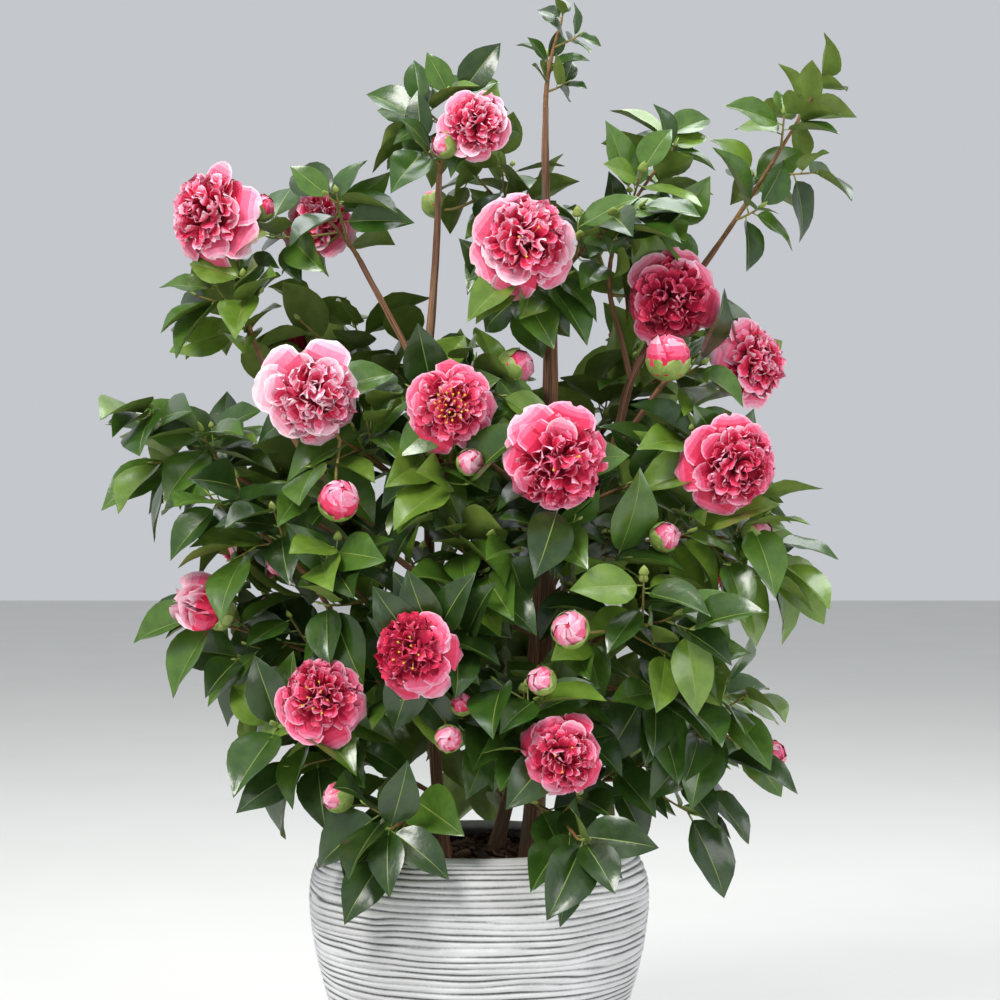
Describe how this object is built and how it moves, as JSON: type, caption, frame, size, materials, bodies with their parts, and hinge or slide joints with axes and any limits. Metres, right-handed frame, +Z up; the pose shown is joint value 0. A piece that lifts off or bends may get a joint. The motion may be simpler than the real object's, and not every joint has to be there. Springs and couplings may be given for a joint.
{
  "type": "potted camellia shrub",
  "caption": "Evergreen camellia shrub with double pink blooms and buds on upright stems, growing in a round bulging pot with a ribbed wall.",
  "frame": {"origin": "middle of the pot's flat underside, which the plant stands on", "axes": "+X to the viewer's right, +Y away from the side that shows most blooms, +Z up"},
  "size_m": [0.8245, 0.6387, 1.2187],
  "materials": {
    "pot": "matt, whitewashed over dark grey",
    "soil": "rough bark compost",
    "bark": "thin, finely streaked bark",
    "leaf": "glossy evergreen leaves",
    "petal": "soft petals, crimson with pale edges"
  },
  "bodies": {
    "root": {"pot": "pot", "soil": "soil", "leader_stem": "bark", "left_stem": "bark", "back_stem": "bark", "right_bough": "bark", "right_arm_bough": "bark", "high_right_bough": "bark", "upper_left_bough": "bark", "left_high_bough": "bark", "left_arm_bough": "bark", "left_low_bough": "bark", "right_mid_bough": "bark", "low_right_bough": "bark", "back_left_bough": "bark", "back_right_bough": "bark", "foliage_leader_top": "leaf", "foliage_right_leader": "leaf", "foliage_high_right": "leaf", "foliage_high_centre": "leaf", "foliage_high_front": "leaf", "foliage_upper_centre": "leaf", "foliage_high_left": "leaf", "foliage_upper_left": "leaf", "foliage_left_high": "leaf", "foliage_left_arm": "leaf", "foliage_left_low_arm": "leaf", "foliage_left_side": "leaf", "foliage_low_left": "leaf", "foliage_middle_left": "leaf", "foliage_centre_left": "leaf", "foliage_middle": "leaf", "foliage_middle_low_left": "leaf", "foliage_middle_right": "leaf", "foliage_centre": "leaf", "foliage_right_arm": "leaf", "foliage_right_front": "leaf", "foliage_right_mid": "leaf", "foliage_low_middle": "leaf", "foliage_low_right": "leaf", "foliage_low_front": "leaf", "foliage_low_centre": "leaf", "foliage_skirt_left": "leaf", "foliage_skirt_front": "leaf", "foliage_skirt_right": "leaf", "foliage_back_top": "leaf", "foliage_back_left_high": "leaf", "foliage_back_right_high": "leaf", "foliage_back_left": "leaf", "foliage_back_right": "leaf", "foliage_back_middle": "leaf", "foliage_back_left_low": "leaf", "foliage_back_right_low": "leaf", "foliage_back_low": "leaf", "foliage_back_skirt": "leaf"}
  },
  "joints": []
}
